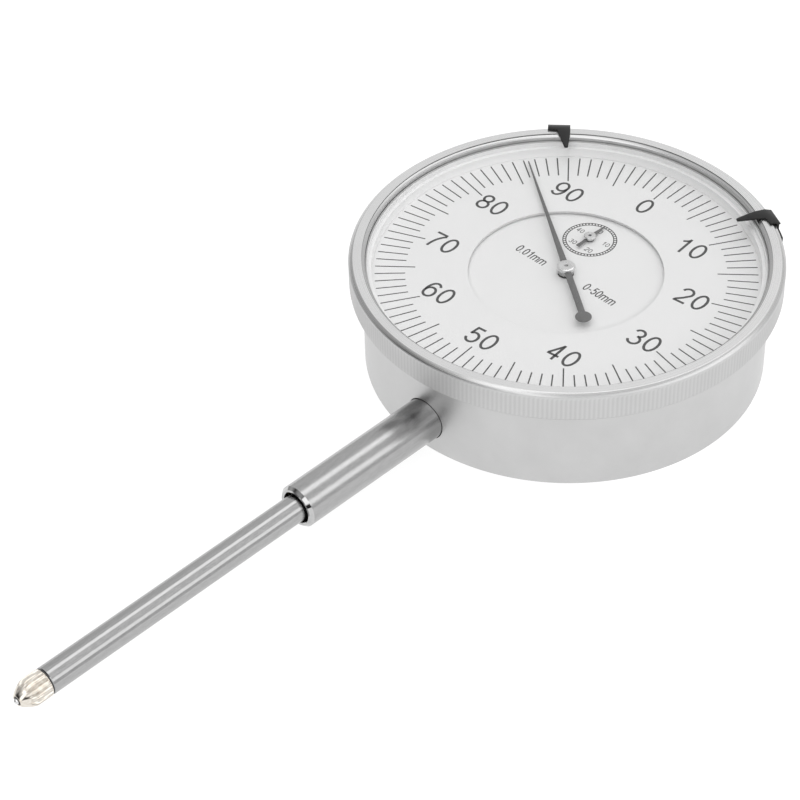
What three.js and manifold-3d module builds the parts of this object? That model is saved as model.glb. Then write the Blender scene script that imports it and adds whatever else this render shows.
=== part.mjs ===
// Large-dial indicator, 0.01 mm graduation, 0-50 mm travel, lying on its flat back.
// Millimetres, +Z out of the dial, +Y towards 12 o'clock, the stem and spindle towards -Y.
// The origin is the centre of the flat back face.
import * as THREE from 'three';
import { mergeVertices } from 'three/addons/utils/BufferGeometryUtils.js';
import Module from 'manifold-3d';

const wasm = await Module();
wasm.setup();

// ---- driving dimensions ----------------------------------------------------
const CASE_R = 37.07;          // outside of the case
const CAVITY_R = 34.3;         // inside of the case wall
const COVER_R = 35.7;          // back cover
const COVER_T = 1.58;          // back cover thickness
const WEB_Z0 = 14.25;          // case web, between movement and dial
const WEB_Z1 = 16.5;
const NECK_R = 33.8;           // ring of the case that the bezel turns on
const NECK_Z1 = 17.75;

const BEZEL_R = 39.5;          // over the crests of the knurl
const BEZEL_Z0 = 16.85;
const BEZEL_Z1 = 22.65;
const BEZEL_BORE = 36.5;       // bore that holds the dial ring and the crystal
const KNURLS = 40;             // coarse ribs standing for the fine knurl
const KNURL_DEPTH = 0.25;

const DIAL_Z = 18.5;           // printed face of the turning dial ring
const DIAL_T = 0.45;
const DIAL_R = 36.4;
const INNER_DIAL_Z = 17.8;     // printed face of the fixed inner dial
const RING_DIAL_R0 = 17.85;    // opening of the turning dial ring
const CRYSTAL_R = 36.4;        // over the skirt
const WINDOW_R = 36.05;        // over the rim inside the seal
const CRYSTAL_Z1 = 21.4;       // flat top of the crystal
const CRYSTAL_T = 1;
const SKIRT_R0 = 35.3;         // inside of the crystal's skirt, which holds the dial ring down

const AXIS_Z = 6.47;           // height of the spindle's axis over the back
const STEM_R = 4;
const STEM_END = -68.7;
const SPINDLE_R = 2.5;
const SPINDLE_TOP = -9;
const SPINDLE_END = -123.85;
const TIP_Y = -130.2;          // outermost point of the measuring ball
const TRAVEL = 50;             // spindle travel, retracting towards +Y

const MODULE = 0.625 / Math.PI;          // rack pitch 0.625 mm
const RACK_PINION_TEETH = 16;            // 10 mm of travel a turn
const LARGE_TEETH = 100;
const CENTRE_TEETH = 10;                 // 1 mm of travel a turn
const REDUCER_MODULE = 0.2;
const REDUCER_PINION_TEETH = 12;
const REDUCER_WHEEL_TEETH = 60;          // 50 mm of travel a turn
const MESH_PLAY = 0.03;                  // added to every centre distance

const PLATE_R = 23;                      // top plate and bridge
const BRIDGE_Z = [9.3, 10.1];
const PLATE_Z = [13.2, 14.2];
const GEAR_Z = [10.45, 10.95];
const GUIDE_PIN_Y = -22;
const SPRING_X = 9.4;
const POST_Y = -31.9;

const POINTER_ANGLE = 144.2;             // degrees anticlockwise from +X
const SMALL_POINTER_ANGLE = 86;
const MARKER_ANGLES = { left: 130.7, right: 61.9 };   // measuring edges

// ---- plane helpers ---------------------------------------------------------
const rad = (degrees) => degrees * Math.PI / 180;
const polar = (r, degrees) => [r * Math.cos(rad(degrees)), r * Math.sin(rad(degrees))];
const shift = (points, [dx, dy]) => points.map(([x, y]) => [x + dx, y + dy]);
const turn = (points, degrees) => {
  const c = Math.cos(rad(degrees));
  const s = Math.sin(rad(degrees));
  return points.map(([x, y]) => [c * x - s * y, s * x + c * y]);
};
const angleTo = (from, to) => Math.atan2(to[1] - from[1], to[0] - from[0]);

function circle(r, n) {
  return Array.from({ length: n }, (_, i) => polar(r, 360 * i / n));
}

function box2(x0, y0, x1, y1) {
  return [[x0, y0], [x1, y0], [x1, y1], [x0, y1]];
}

// Ring sector between two radii, from angle a0 to a1 in degrees.
function sector(r0, r1, a0, a1, steps) {
  const at = (i) => a0 + (a1 - a0) * i / steps;
  const outer = Array.from({ length: steps + 1 }, (_, i) => polar(r1, at(i)));
  const inner = Array.from({ length: steps + 1 }, (_, i) => polar(r0, at(steps - i)));
  return [...outer, ...inner];
}

// Where a circle about a meets a circle about b, on b's clockwise side seen from a.
function meet(a, ra, b, rb) {
  const d = Math.hypot(b[0] - a[0], b[1] - a[1]);
  const away = Math.acos((ra * ra + d * d - rb * rb) / (2 * ra * d));
  const angle = angleTo(a, b) - away;
  return [a[0] + ra * Math.cos(angle), a[1] + ra * Math.sin(angle)];
}

// ---- solids ----------------------------------------------------------------
function volumeOf(points, index) {
  let sum = 0;
  for (let i = 0; i < index.length; i += 3) {
    const [a, b, c] = [0, 1, 2].map((k) => new THREE.Vector3().fromArray(points, 3 * index[i + k]));
    sum += a.dot(b.cross(c));
  }
  return sum;
}

// A three.js geometry as a closed solid, its vertices joined and its faces outward.
function solid(geometry) {
  geometry.deleteAttribute('normal');
  geometry.deleteAttribute('uv');
  const joined = mergeVertices(geometry, 1e-5);
  const points = joined.attributes.position.array;
  const index = [];
  for (let i = 0; i < joined.index.count; i += 3) {
    const [a, b, c] = [0, 1, 2].map((k) => joined.index.getX(i + k));
    if (a !== b && b !== c && c !== a) index.push(a, b, c);
  }
  if (volumeOf(points, index) < 0) index.reverse();
  const mesh = new wasm.Mesh({
    numProp: 3,
    vertProperties: new Float32Array(points),
    triVerts: new Uint32Array(index),
  });
  mesh.merge();
  return new wasm.Manifold(mesh);
}

const join = (first, ...rest) => rest.reduce((all, next) => all.add(next), first);
const cut = (first, ...rest) => rest.reduce((left, next) => left.subtract(next), first);

// Flat outline raised from z0 to z1.
function prism(outline, z0, z1, holes = []) {
  const shape = new THREE.Shape(outline.map(([x, y]) => new THREE.Vector2(x, y)));
  shape.holes = holes.map((hole) => new THREE.Path(hole.map(([x, y]) => new THREE.Vector2(x, y))));
  const geometry = new THREE.ExtrudeGeometry(shape, { depth: z1 - z0, bevelEnabled: false });
  geometry.translate(0, 0, z0);
  return solid(geometry);
}

// Profile of [radius, height] pairs turned about an axis along +Z.
function turned(profile, segments, x = 0, y = 0) {
  const points = profile.map(([r, z]) => new THREE.Vector2(r, z));
  const geometry = new THREE.LatheGeometry(points, segments);
  geometry.rotateX(Math.PI / 2);
  geometry.translate(x, y, 0);
  return solid(geometry);
}

// The same, about the spindle's axis: pairs are [radius, y].
function turnedAlongY(profile, segments) {
  const points = profile.map(([r, y]) => new THREE.Vector2(r, y));
  const geometry = new THREE.LatheGeometry(points, segments);
  geometry.translate(0, 0, AXIS_Z);
  return solid(geometry);
}

const closed = (profile) => [...profile, profile[0]];

// Round bar between two points.
function rod(r, from, to, segments = 16) {
  const a = new THREE.Vector3(...from);
  const b = new THREE.Vector3(...to);
  const geometry = new THREE.CylinderGeometry(r, r, a.distanceTo(b), segments);
  const direction = b.clone().sub(a).normalize();
  const up = new THREE.Vector3(0, 1, 0);
  geometry.applyQuaternion(new THREE.Quaternion().setFromUnitVectors(up, direction));
  geometry.translate(...a.add(b).multiplyScalar(0.5).toArray());
  return solid(geometry);
}

function block(x0, y0, z0, x1, y1, z1) {
  return prism(box2(x0, y0, x1, y1), z0, z1);
}

// ---- gears -----------------------------------------------------------------
const TOOTH_ADDENDUM = 0.85;
const TOOTH_DEDENDUM = 1.2;
const ROOT_SHARE = 0.5;        // width of the pointed tooth at its root, over the pitch

// Outline with a tooth centred on angle "phase" (radians).
function gearOutline(teeth, module, phase) {
  const pitchR = module * teeth / 2;
  const step = 2 * Math.PI / teeth;
  const points = [];
  for (let i = 0; i < teeth; i += 1) {
    const centre = phase + i * step;
    const corners = [
      [pitchR - TOOTH_DEDENDUM * module, -ROOT_SHARE / 2],
      [pitchR + TOOTH_ADDENDUM * module, 0],
      [pitchR - TOOTH_DEDENDUM * module, ROOT_SHARE / 2],
    ];
    for (const [r, share] of corners) {
      const angle = centre + share * step;
      points.push([r * Math.cos(angle), r * Math.sin(angle)]);
    }
  }
  return points;
}

// Phase that puts gear B's gaps over gear A's teeth on their line of centres.
function meshedPhase(phaseA, teethA, teethB, direction) {
  const share = (direction - phaseA) * teethA / (2 * Math.PI);
  return direction + Math.PI + (share + 0.5) * 2 * Math.PI / teethB;
}

const pitchDistance = (module, a, b) => module * (a + b) / 2 + MESH_PLAY;

// Arbor positions, in plan.
const CENTRE = [0, 0];
const TRAIN_R = pitchDistance(MODULE, LARGE_TEETH, CENTRE_TEETH);
const RACK_ARBOR_X = -3.2;
const RACK_ARBOR = [RACK_ARBOR_X, -Math.sqrt(TRAIN_R ** 2 - RACK_ARBOR_X ** 2)];
const SMALL_ARBOR = [-3.5, 10.55];
const REDUCER_R = pitchDistance(REDUCER_MODULE, REDUCER_PINION_TEETH, REDUCER_WHEEL_TEETH);
const HAIR_ARBOR = meet(CENTRE, TRAIN_R, SMALL_ARBOR, REDUCER_R);
const RACK_PITCH_X = RACK_ARBOR_X + MODULE * RACK_PINION_TEETH / 2 + MESH_PLAY;

// Tooth phases at rest, from the rack onwards.
const RACK_PINION_PHASE = 0;
const LARGE_PHASE = angleTo(RACK_ARBOR, CENTRE);
const CENTRE_PHASE = meshedPhase(LARGE_PHASE, LARGE_TEETH, CENTRE_TEETH, angleTo(RACK_ARBOR, CENTRE));
const HAIR_PHASE = meshedPhase(CENTRE_PHASE, CENTRE_TEETH, LARGE_TEETH, angleTo(CENTRE, HAIR_ARBOR));
const REDUCER_DIRECTION = angleTo(HAIR_ARBOR, SMALL_ARBOR);
const REDUCER_PHASE = REDUCER_DIRECTION;
const SMALL_PHASE = meshedPhase(REDUCER_PHASE, REDUCER_PINION_TEETH, REDUCER_WHEEL_TEETH, REDUCER_DIRECTION);

// Thin wheel with round openings between its arms.
function wheel(at, teeth, module, phase, z0, z1, boreR, openings) {
  const holes = [shift(circle(boreR, 12), at)];
  const hubR = module * teeth / 2;
  for (let i = 0; i < openings; i += 1) {
    const centre = polar(hubR * 0.55, 360 * (i + 0.5) / openings);
    holes.push(shift(circle(hubR * 0.24, 10), [at[0] + centre[0], at[1] + centre[1]]));
  }
  return prism(shift(gearOutline(teeth, module, phase), at), z0, z1, holes);
}

function pinion(at, teeth, module, phase, z0, z1) {
  return prism(shift(gearOutline(teeth, module, phase), at), z0, z1);
}

// Steps of [radius, z0, z1] stacked into one arbor.
function arbor(at, steps, segments = 12) {
  const profile = [[0, steps[0][1]]];
  for (const [r, z0, z1] of steps) profile.push([r, z0], [r, z1]);
  profile.push([0, steps[steps.length - 1][2]]);
  return turned(profile, segments, ...at);
}

// ---- the group -------------------------------------------------------------
const group = new THREE.Group();

const LOOKS = {
  satin_alloy: [0xc2c3c5, 0.8, 0.45],
  steel: [0xb4b5b8, 0.95, 0.3],
  dark_steel: [0x3c3d40, 0.8, 0.45],
  brass: [0xc9a861, 0.9, 0.35],
  nickel: [0xcbbfa8, 0.95, 0.25],
  dial_white: [0xe9e9e8, 0, 0.6],
  pointer_grey: [0x4d4e50, 0.3, 0.5],
  black: [0x1f2022, 0.2, 0.5],
  crystal: [0xf2f6f7, 0, 0.05],
};

function place(name, manifold, look) {
  const [color, metalness, roughness] = LOOKS[look];
  const data = manifold.getMesh();
  const geometry = new THREE.BufferGeometry();
  geometry.setAttribute('position', new THREE.BufferAttribute(new Float32Array(data.vertProperties), 3));
  geometry.setIndex(new THREE.BufferAttribute(new Uint32Array(data.triVerts), 1));
  const flat = geometry.toNonIndexed();
  flat.computeVertexNormals();
  const material = new THREE.MeshStandardMaterial({ color, metalness, roughness });
  if (look === 'crystal') {
    material.transparent = true;
    material.opacity = 0.2;
  }
  const mesh = new THREE.Mesh(flat, material);
  mesh.name = name;
  group.add(mesh);
}

// ---- screws ----------------------------------------------------------------
// Cheese-head screw along Z; its head is at headZ and its shank runs towards "up" (+1 or -1).
function screw([x, y], headZ, up, headR, headT, shankR, length) {
  const shankEnd = headZ + up * (headT + length);
  const neck = headZ + up * headT;
  const profile = [[0, headZ], [headR, headZ], [headR, neck], [shankR, neck], [shankR, shankEnd], [0, shankEnd]];
  const body = turned(profile, 10, x, y);
  const slotDepth = up * headT * 0.45;
  const low = Math.min(headZ, headZ + slotDepth) - (up > 0 ? 0.1 : 0);
  const high = Math.max(headZ, headZ + slotDepth) + (up > 0 ? 0 : 0.1);
  const slotW = headR * 0.16;
  return cut(body, block(x - headR * 1.2, y - slotW, low, x + headR * 1.2, y + slotW, high));
}

// ---- case ------------------------------------------------------------------
const COVER_SCREW_AT = [45, 135, 225, 315].map((a) => polar(32.3, a));
const PLATE_SCREW_AT = [0, 90, 180, 270].map((a) => polar(20.6, a));
const PILLAR_AT = [32, 148, 212, 328].map((a) => polar(20, a));
const RAIL_SCREW_AT = [[5.1, -25.8], [5.1, 31]];

function caseShell() {
  const profile = closed([
    [36.0, 0], [CASE_R - 0.35, 0], [CASE_R, 0.35], [CASE_R, WEB_Z1 - 0.35], [CASE_R - 0.35, WEB_Z1],
    [NECK_R, WEB_Z1], [NECK_R, NECK_Z1], [32.4, NECK_Z1], [32.4, WEB_Z1], [2.2, WEB_Z1],
    [2.2, WEB_Z0], [CAVITY_R, WEB_Z0], [CAVITY_R, COVER_T + 0.02], [36.0, COVER_T + 0.02],
  ]);
  let shell = turned(profile, 52);
  const bosses = COVER_SCREW_AT.map(([x, y]) => rod(2.7, [x, y, COVER_T + 0.02], [x, y, WEB_Z0 + 0.1], 14));
  shell = join(shell, ...bosses);
  const holes = [
    rod(STEM_R + 0.06, [0, -40, AXIS_Z], [0, -30, AXIS_Z], 40),
    rod(3.7, [0, 30, AXIS_Z], [0, 40, AXIS_Z], 32),
    rod(0.6, [...SMALL_ARBOR, 14], [...SMALL_ARBOR, 17], 20),
    rod(0.95, [SPRING_X, POST_Y, WEB_Z0 - 0.5], [SPRING_X, POST_Y, 15.9], 16),
    ...COVER_SCREW_AT.map(([x, y]) => rod(0.95, [x, y, 0], [x, y, 6.4])),
    ...PLATE_SCREW_AT.map(([x, y]) => rod(0.8, [x, y, 14], [x, y, 16])),
    ...RAIL_SCREW_AT.map(([x, y]) => rod(0.75, [x, y, 14], [x, y, 16])),
    ...[-1, 1].map((side) => rod(0.65, [side * 10, 0, 16], [side * 10, 0, 17], 12)),
  ];
  return cut(shell, ...holes);
}
place('case', caseShell(), 'satin_alloy');

function backCover() {
  const plate = turned([[0, 0], [COVER_R - 0.3, 0], [COVER_R, 0.3], [COVER_R, COVER_T], [0, COVER_T]], 56);
  const countersinks = COVER_SCREW_AT.map(([x, y]) => turned([
    [0, -0.1], [2.0, -0.1], [2.0, 0.3], [1.1, 1.15], [1.1, 2], [0, 2],
  ], 14, x, y));
  return cut(plate, ...countersinks);
}
place('back_cover', backCover(), 'satin_alloy');

COVER_SCREW_AT.forEach(([x, y], i) => {
  const body = turned([[0, 0.06], [1.85, 0.06], [1.85, 0.26], [0.85, 1.15], [0.85, 6], [0, 6]], 12, x, y);
  const slot = block(x - 2, y - 0.25, -0.1, x + 2, y + 0.25, 0.5);
  place(`cover_screw_${i + 1}`, cut(body, slot), 'steel');
});

// ---- stem, bushes and top cap ----------------------------------------------
const STEM_BORE = 3.1;
place('stem', turnedAlongY(closed([
  [STEM_BORE, STEM_END], [3.55, STEM_END], [STEM_R, STEM_END + 0.75], [STEM_R, -33.7], [4.7, -33.7],
  [4.7, -32.4], [STEM_R, -32.4], [STEM_R, -30], [STEM_BORE, -30],
]), 36), 'steel');
place('front_bush', turnedAlongY(closed([
  [2.57, STEM_END + 4], [3.04, STEM_END + 4], [3.04, -56], [2.57, -56],
]), 32), 'brass');
place('rear_bush', turnedAlongY(closed([[2.57, -42], [3.04, -42], [3.04, -30.3], [2.57, -30.3]]), 32), 'brass');
place('top_cap', turnedAlongY(closed([
  [0, 43.6], [3.6, 43.6], [4.5, 42.7], [4.5, 37.3], [3.6, 37.3], [3.6, 34.5], [3.0, 34.5], [3.0, 41.9], [0, 41.9],
]).slice(0, -1), 32), 'steel');

// ---- spindle ---------------------------------------------------------------
const RACK_FROM = -63.2;
const RACK_TO = -9;

// Teeth of the rack: a saw outline in plan that cuts the spindle's left flank.
function rackCutter() {
  const tipX = RACK_PITCH_X - TOOTH_ADDENDUM * MODULE;
  const rootX = RACK_PITCH_X + TOOTH_DEDENDUM * MODULE;
  const pitch = Math.PI * MODULE;
  const points = [[-4, RACK_TO + 1], [-4, RACK_FROM]];
  const first = Math.ceil((RACK_FROM - RACK_ARBOR[1]) / pitch - 0.5);
  const last = Math.floor((RACK_TO - RACK_ARBOR[1]) / pitch - 0.5) - 1;
  for (let i = first; i <= last; i += 1) {
    const centre = RACK_ARBOR[1] + (i + 0.5) * pitch;
    points.push([rootX, centre - pitch * ROOT_SHARE / 2], [tipX, centre], [rootX, centre + pitch * ROOT_SHARE / 2]);
  }
  points.push([rootX, RACK_TO + 1]);
  return prism(points, 0, 14);
}

function spindle() {
  const bar = turnedAlongY([
    [0, SPINDLE_END], [SPINDLE_R - 0.1, SPINDLE_END], [SPINDLE_R, SPINDLE_END + 0.1],
    [SPINDLE_R, SPINDLE_TOP - 0.4], [SPINDLE_R - 0.4, SPINDLE_TOP], [0, SPINDLE_TOP],
  ], 32);
  const pinHole = rod(0.85, [0.6, GUIDE_PIN_Y, AXIS_Z], [4, GUIDE_PIN_Y, AXIS_Z], 16);
  const thread = turnedAlongY([[0, SPINDLE_END - 1], [1.35, SPINDLE_END - 1], [1.35, -119], [0, -119]], 20);
  return cut(bar, rackCutter(), pinHole, thread);
}
place('spindle', spindle(), 'steel');

place('contact_washer', turnedAlongY(closed([
  [1.4, SPINDLE_END - 0.03], [2.35, SPINDLE_END - 0.03], [2.35, SPINDLE_END - 0.33], [1.4, SPINDLE_END - 0.33],
]), 32), 'black');

const BALL_R = 0.65;
const BALL_Y = TIP_Y + BALL_R;
function contactPoint() {
  const body = turnedAlongY([
    [0, -119.3], [1.25, -119.3], [1.25, -124.21], [2.45, -124.21], [2.5, -124.4], [2.5, -127.1],
    [2.4, -127.35], [1.35, -129.2], [1.0, -129.75], [0, -129.75],
  ], 28);
  const seat = new THREE.SphereGeometry(BALL_R + 0.03, 16, 10);
  seat.translate(0, BALL_Y, AXIS_Z);
  return cut(body, solid(seat));
}
place('contact_point', contactPoint(), 'nickel');

const ball = new THREE.SphereGeometry(BALL_R, 16, 10);
ball.translate(0, BALL_Y, AXIS_Z);
place('contact_ball', solid(ball), 'steel');

place('guide_pin', rod(0.65, [0.8, GUIDE_PIN_Y, AXIS_Z], [11, GUIDE_PIN_Y, AXIS_Z]), 'steel');

// ---- guide rail, return spring ---------------------------------------------
function guideRail() {
  const bar = block(4, -27.4, 4.2, 6.2, 32.4, 8.7);
  const slotEnds = [GUIDE_PIN_Y - 0.95, GUIDE_PIN_Y + TRAVEL + 0.95];
  const slot = block(3, slotEnds[0], AXIS_Z - 0.75, 7, slotEnds[1], AXIS_Z + 0.75);
  const feet = RAIL_SCREW_AT.map(([x, y]) => block(4, y - 1.4, 8.6, 6.2, y + 1.4, WEB_Z0 - 0.02));
  const holes = RAIL_SCREW_AT.map(([x, y]) => rod(0.7, [x, y, 3], [x, y, 15]));
  return cut(join(bar, ...feet), slot, ...holes);
}
place('guide_rail', guideRail(), 'steel');
RAIL_SCREW_AT.forEach((at, i) => {
  place(`rail_screw_${i + 1}`, screw(at, 3.35, 1, 1.05, 0.8, 0.6, 11.4), 'steel');
});

place('spring_post', arbor([SPRING_X, POST_Y], [[0.85, 4.4, WEB_Z0 - 0.05], [0.7, WEB_Z0 - 0.05, 15.7]]), 'steel');

// Coil of wire along Y between the post and the guide pin.
class Helix extends THREE.Curve {
  constructor(radius, y0, y1, turns) {
    super();
    Object.assign(this, { radius, y0, y1, turns });
  }

  getPoint(t) {
    const angle = 2 * Math.PI * this.turns * t;
    const x = SPRING_X + this.radius * Math.cos(angle);
    const z = AXIS_Z + this.radius * Math.sin(angle);
    return new THREE.Vector3(x, this.y0 + (this.y1 - this.y0) * t, z);
  }
}

function wire(curve, r, steps, sides = 5) {
  const section = new THREE.Shape(circle(r, sides).map(([x, y]) => new THREE.Vector2(x, y)));
  return solid(new THREE.ExtrudeGeometry(section, { steps, extrudePath: curve, bevelEnabled: false }));
}
const SPRING_TURNS = 8;
place('return_spring', wire(new Helix(1.7, POST_Y + 1.25, GUIDE_PIN_Y - 1.05, SPRING_TURNS), 0.22, SPRING_TURNS * 10), 'steel');

// ---- movement frame --------------------------------------------------------
const BEARING_R = 0.56;
const bearing = (at) => shift(circle(BEARING_R, 16), at);

place('bridge', prism(circle(PLATE_R, 40), ...BRIDGE_Z, [
  bearing(CENTRE), bearing(HAIR_ARBOR), shift(circle(1.3, 20), RACK_ARBOR),
  ...PILLAR_AT.map((at) => shift(circle(0.8, 10), at)),
  shift(circle(0.75, 10), [-14, -12]),
]), 'brass');
place('top_plate', prism(circle(PLATE_R, 40), ...PLATE_Z, [
  bearing(CENTRE), bearing(HAIR_ARBOR), bearing(RACK_ARBOR), shift(circle(1.15, 20), SMALL_ARBOR),
  ...PILLAR_AT.map((at) => shift(circle(0.8, 10), at)),
  ...PLATE_SCREW_AT.map((at) => shift(circle(0.8, 10), at)),
]), 'brass');

PILLAR_AT.forEach((at, i) => {
  const shoulder = PLATE_Z[0] - 0.02;
  const post = arbor(at, [[1.4, BRIDGE_Z[1] + 0.02, shoulder], [0.7, shoulder, PLATE_Z[1] - 0.3]]);
  const bore = rod(0.75, [...at, BRIDGE_Z[1] - 1], [...at, BRIDGE_Z[1] + 1.6], 10);
  place(`pillar_${i + 1}`, cut(post, bore), 'brass');
  place(`bridge_screw_${i + 1}`, screw(at, BRIDGE_Z[0] - 0.72, 1, 1.3, 0.7, 0.65, 2.2), 'steel');
});
PLATE_SCREW_AT.forEach((at, i) => {
  place(`plate_screw_${i + 1}`, screw(at, PLATE_Z[0] - 0.77, 1, 1.3, 0.75, 0.7, 2.4), 'steel');
});

// Lower bearing of the rack pinion: a cock below the spindle's level, on its own post.
const COCK_POST = [-14, -12];
function pinionCock() {
  const arm = prism([[-15.8, -14], [-12, -14.3], [-1.9, -12.4], [-1.9, -8.5], [-15.8, -10]], 2.5, 3.3,
    [bearing(RACK_ARBOR)]);
  const post = rod(1.5, [...COCK_POST, 3.2], [...COCK_POST, BRIDGE_Z[0] - 0.02], 20);
  const stud = rod(0.65, [...COCK_POST, BRIDGE_Z[0] - 0.1], [...COCK_POST, BRIDGE_Z[1] - 0.05], 14);
  return join(arm, post, stud);
}
place('pinion_cock', pinionCock(), 'brass');

// ---- gear train ------------------------------------------------------------
function rackPinion() {
  const shaft = arbor(RACK_ARBOR, [[0.5, 2.6, 3.6], [0.9, 3.6, 10.4], [0.75, 10.4, 11.6], [0.5, 11.6, 14.1]]);
  return join(shaft, pinion(RACK_ARBOR, RACK_PINION_TEETH, MODULE, RACK_PINION_PHASE, 4.9, 8.3));
}
place('rack_pinion', rackPinion(), 'steel');
place('large_gear', wheel(RACK_ARBOR, LARGE_TEETH, MODULE, LARGE_PHASE, ...GEAR_Z, 0.8, 5), 'brass');

const CENTRE_TOP = 19.5;
function centrePinion() {
  const shaft = arbor(CENTRE, [[0.5, 9.35, CENTRE_TOP]]);
  return join(shaft, pinion(CENTRE, CENTRE_TEETH, MODULE, CENTRE_PHASE, 10.3, 11.15));
}
place('centre_pinion', centrePinion(), 'steel');

const REDUCER_Z = [12.0, 12.9];
const SMALL_WHEEL_Z = [12.2, 12.6];
function hairArbor() {
  const shaft = arbor(HAIR_ARBOR, [[0.5, 9.35, 10.4], [0.75, 10.4, 12.1], [0.5, 12.1, 14.1]]);
  return join(shaft, pinion(HAIR_ARBOR, REDUCER_PINION_TEETH, REDUCER_MODULE, REDUCER_PHASE, ...REDUCER_Z));
}
place('reducer_arbor', hairArbor(), 'steel');
place('backlash_gear', wheel(HAIR_ARBOR, LARGE_TEETH, MODULE, HAIR_PHASE, ...GEAR_Z, 0.8, 5), 'brass');

// Spiral of flat strip round the reducer arbor, held at its outer end by a stud.
const HAIR_TURNS = 3;
const HAIR_R = [1.2, 4.4];
const HAIR_Z = [11.25, 11.65];
function hairspring() {
  const steps = HAIR_TURNS * 16;
  const spiral = (offset) => Array.from({ length: steps + 1 }, (_, i) => {
    const t = i / steps;
    return polar(HAIR_R[0] + (HAIR_R[1] - HAIR_R[0]) * t + offset, 360 * HAIR_TURNS * t);
  });
  return prism(shift([...spiral(0.09), ...spiral(-0.09).reverse()], HAIR_ARBOR), ...HAIR_Z);
}
place('hairspring', hairspring(), 'dark_steel');
place('hairspring_collet', turned(closed([[0.8, 11.1], [1.05, 11.1], [1.05, 11.8], [0.8, 11.8]]), 20, ...HAIR_ARBOR), 'brass');
place('hairspring_stud', rod(0.4, [HAIR_ARBOR[0] + HAIR_R[1] + 0.55, HAIR_ARBOR[1], 11.15],
  [HAIR_ARBOR[0] + HAIR_R[1] + 0.55, HAIR_ARBOR[1], PLATE_Z[0] - 0.02], 12), 'brass');

// ---- dials -----------------------------------------------------------------
function innerDial() {
  const holes = [circle(1.5, 20), shift(circle(0.8, 14), SMALL_ARBOR)];
  const disc = prism(circle(19, 64), INNER_DIAL_Z - 0.4, INNER_DIAL_Z, holes);
  const sides = [-1, 1];
  const feet = sides.map((side) => rod(0.55, [side * 10, 0, 16.1], [side * 10, 0, INNER_DIAL_Z - 0.2], 12));
  const collars = sides.map((side) => rod(1.4, [side * 10, 0, WEB_Z1 + 0.02], [side * 10, 0, INNER_DIAL_Z - 0.2], 12));
  return join(disc, ...feet, ...collars);
}
place('inner_dial', innerDial(), 'dial_white');
place('dial_ring', turned(closed([
  [RING_DIAL_R0, DIAL_Z - DIAL_T], [DIAL_R, DIAL_Z - DIAL_T], [DIAL_R, DIAL_Z], [RING_DIAL_R0, DIAL_Z],
]), 80), 'dial_white');

// ---- small hand ------------------------------------------------------------
const SMALL_HAND_Z = [18.3, 18.45];
place('small_arbor', arbor(SMALL_ARBOR, [[0.52, 12.18, 18.7]]), 'steel');
place('small_wheel', wheel(SMALL_ARBOR, REDUCER_WHEEL_TEETH, REDUCER_MODULE, SMALL_PHASE, ...SMALL_WHEEL_Z, 0.57, 4), 'brass');

// Flat hand: a tapering blade and a tail, in plan, turned to its angle.
function handOutline(tipR, tipW, rootW, tailR, tailW) {
  return [[tipR, -tipW / 2], [tipR, tipW / 2], [0, rootW / 2], [-tailR, tailW / 2], [-tailR, -tailW / 2], [0, -rootW / 2]];
}

function smallHand() {
  const blade = prism(shift(turn(handOutline(4.4, 0.25, 0.85, 3.8, 0.45), SMALL_POINTER_ANGLE), SMALL_ARBOR), ...SMALL_HAND_Z);
  const hub = arbor(SMALL_ARBOR, [[0.85, 18.05, 18.5], [1.15, 18.5, 18.85]]);
  return cut(join(blade, hub), rod(0.57, [...SMALL_ARBOR, 18], [...SMALL_ARBOR, 19], 20));
}
place('small_pointer', smallHand(), 'pointer_grey');

// ---- main pointer ----------------------------------------------------------
const POINTER_Z = [19.12, 19.3];
const POINTER_TIP_R = 33.4;
const WEIGHT_R = 14.4;
function mainPointer() {
  const blade = prism(turn(handOutline(POINTER_TIP_R, 0.3, 1.7, WEIGHT_R, 0.9), POINTER_ANGLE), ...POINTER_Z);
  const hub = rod(1.15, [0, 0, POINTER_Z[0]], [0, 0, POINTER_Z[1]], 24);
  const weight = prism(shift(circle(1.55, 28), polar(-WEIGHT_R, POINTER_ANGLE)), ...POINTER_Z);
  return cut(join(blade, hub, weight), rod(0.56, [0, 0, 18], [0, 0, 21], 20));
}
place('main_pointer', mainPointer(), 'pointer_grey');
place('pointer_collet', turned(closed([[0.56, 18.3], [1.2, 18.3], [1.2, 19.08], [0.56, 19.08]]), 24), 'dark_steel');
place('pointer_hub', turned(closed([
  [0.56, 19.34], [1.65, 19.34], [1.65, 19.75], [1.4, 20.0], [0.56, 20.0],
]), 24), 'steel');

// ---- bezel and crystal -----------------------------------------------------
function bezel() {
  const segments = KNURLS * 2;
  const profile = closed([
    [34.55, BEZEL_Z0], [38.9, BEZEL_Z0], [BEZEL_R, BEZEL_Z0 + 0.5], [BEZEL_R, BEZEL_Z1 - 0.45],
    [BEZEL_R - 0.2, BEZEL_Z1 - 0.3], [37.7, BEZEL_Z1], [37.25, BEZEL_Z1], [BEZEL_BORE + 0.1, BEZEL_Z1 - 0.25],
    [BEZEL_BORE, BEZEL_Z1 - 0.35], [BEZEL_BORE, DIAL_Z - DIAL_T - 0.02], [34.55, DIAL_Z - DIAL_T - 0.02],
  ]);
  const ring = turned(profile, segments);
  const grooves = Array.from({ length: KNURLS }, (_, i) => {
    const angle = 360 * (i + 0.5) / KNURLS;
    return prism(turn([[BEZEL_R - KNURL_DEPTH, 0], [BEZEL_R + 1, -1], [BEZEL_R + 1, 1]], angle),
      BEZEL_Z0 + 0.9, BEZEL_Z1 - 1.0);
  });
  return cut(ring, ...grooves);
}
place('bezel', bezel(), 'satin_alloy');
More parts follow.
